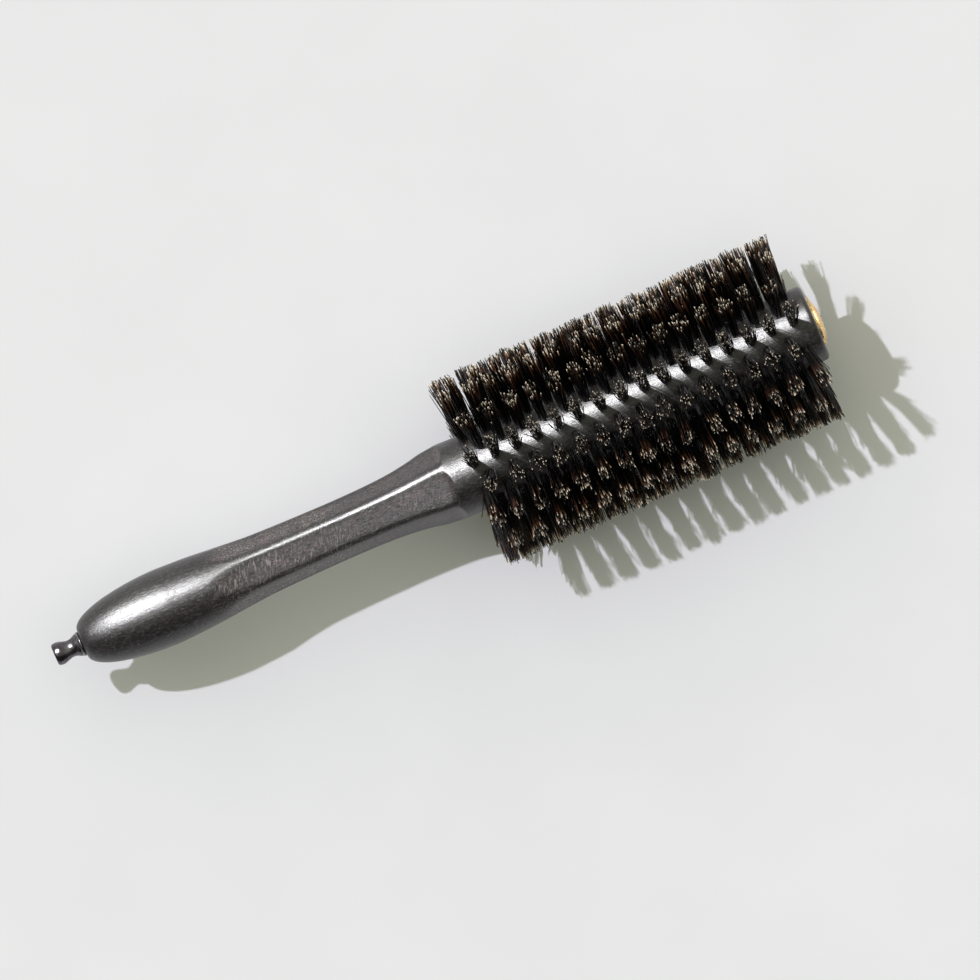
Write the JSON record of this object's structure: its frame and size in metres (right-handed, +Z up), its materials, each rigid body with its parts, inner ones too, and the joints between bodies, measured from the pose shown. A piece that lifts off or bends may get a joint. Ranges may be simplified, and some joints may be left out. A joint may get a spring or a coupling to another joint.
{
  "type": "round hair brush",
  "caption": "Round barrel hair brush with staggered rows of boar bristle, a dark wooden handle with a hexagonal grip, and a pull-out sectioning pick.",
  "frame": {"origin": "under the middle of the brush, on the plane that the bristles rest on", "axes": "+X along the brush from the pick's knob to the medallion, +Z up, with the brush lying on its bristles"},
  "size_m": [0.2578, 0.0624, 0.0624],
  "materials": {
    "ebonised_wood": "black-stained beech under a satin lacquer",
    "boar_bristle": "natural boar bristle, near black with reddish-brown tips",
    "gold_finish": "gold-coloured, softly polished",
    "adhesive_foam": "matt foam pad",
    "polished_steel": "polished",
    "black_nickel": "polished black nickel plate",
    "pin_steel": "drawn steel, satin",
    "nylon": "moulded, matt"
  },
  "bodies": {
    "brush": {"wood_body": "ebonised_wood", "end_medallion": "gold_finish", "medallion_pad": "adhesive_foam", "end_ferrule": "polished_steel", "bristle_row_01": "boar_bristle", "bristle_row_02": "boar_bristle", "bristle_row_03": "boar_bristle", "bristle_row_04": "boar_bristle", "bristle_row_05": "boar_bristle", "bristle_row_06": "boar_bristle", "bristle_row_07": "boar_bristle", "bristle_row_08": "boar_bristle", "bristle_row_09": "boar_bristle", "bristle_row_10": "boar_bristle", "bristle_row_11": "boar_bristle", "bristle_row_12": "boar_bristle", "bristle_row_13": "boar_bristle", "bristle_row_14": "boar_bristle", "bristle_row_15": "boar_bristle", "bristle_row_16": "boar_bristle"},
    "pick": {"pick_knob": "black_nickel", "pick_pin": "pin_steel", "pick_grip_sleeve": "nylon"}
  },
  "joints": [
    {"name": "pick_slide", "type": "slide", "parent": "brush", "child": "pick", "axis": [-1, 0, 0], "range_m": [0, 0.1]}
  ]
}
